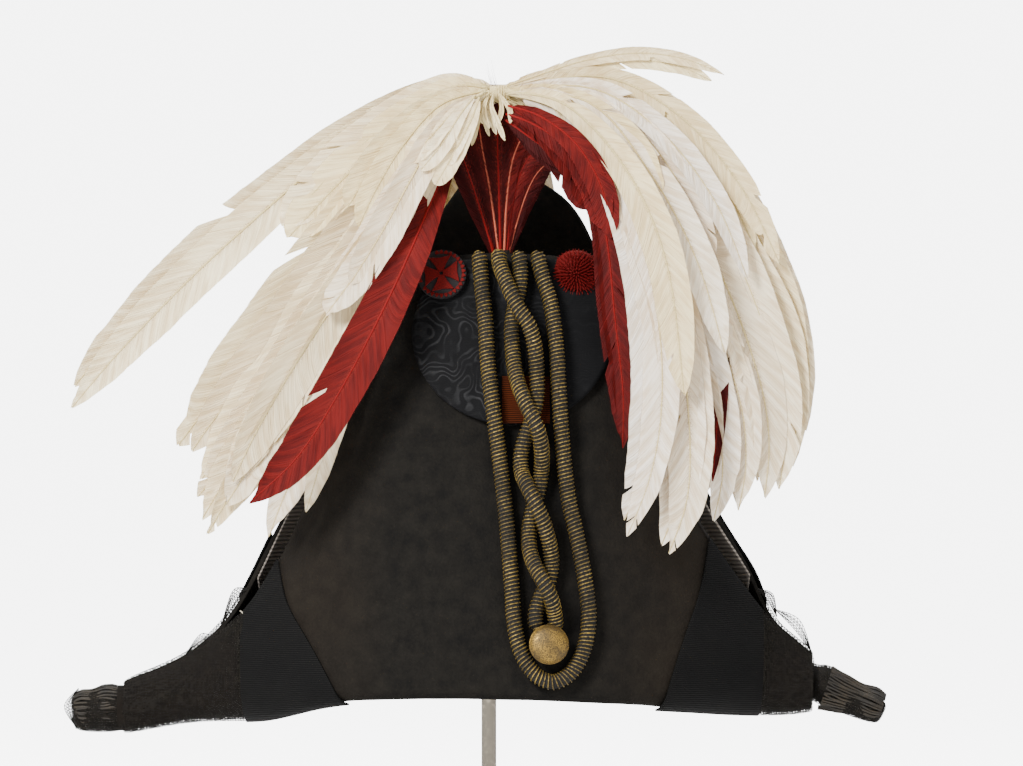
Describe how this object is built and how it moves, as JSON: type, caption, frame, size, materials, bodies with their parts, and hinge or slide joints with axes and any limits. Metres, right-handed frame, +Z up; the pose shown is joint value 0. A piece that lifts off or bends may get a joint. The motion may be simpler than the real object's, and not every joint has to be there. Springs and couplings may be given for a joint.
{
  "type": "cocked hat on a stand",
  "caption": "Black felt cocked hat with falling white and red feather plume, silk cockade, bullion loop, button and rosettes, on a thin steel post with a square plate.",
  "frame": {"origin": "centre of the stand plate's underside, on the surface that it stands on", "axes": "+Z up, the front leaf with its cockade faces -Y, and +X is to the right of someone who looks at the front"},
  "size_m": [0.4392, 0.1787, 0.4664],
  "materials": {
    "felt": "black beaver felt, worn to brown",
    "ribbon": "black ribbed silk",
    "cockade_silk": "black watered silk, pleated",
    "red_silk": "red cloth on black, matte",
    "orange_silk": "faded orange silk",
    "bullion": "tarnished gold bullion wire round a thread core",
    "gilt": "worn gilt",
    "white_feather": "white feathers",
    "red_feather": "dyed red feathers",
    "steel": "plain steel, slightly dull"
  },
  "bodies": {
    "root": {"crown": "felt", "front_leaf": "felt", "back_leaf": "felt", "ribbon_left_front": "ribbon", "ribbon_left_back": "ribbon", "ribbon_right_front": "ribbon", "ribbon_right_back": "ribbon", "edge_band_left": "ribbon", "edge_band_right": "ribbon", "tassel_left": "bullion", "tassel_right": "bullion", "cockade": "cockade_silk", "loop_tab": "orange_silk", "rosette_left": "red_silk", "rosette_right": "red_silk", "loop_outer": "bullion", "loop_inner_a": "bullion", "loop_inner_b": "bullion", "button": "gilt", "plume_red": "red_feather", "plume_left": "white_feather", "plume_right": "white_feather", "plume_back": "white_feather", "stand_post": "steel", "stand_base": "steel"}
  },
  "joints": []
}
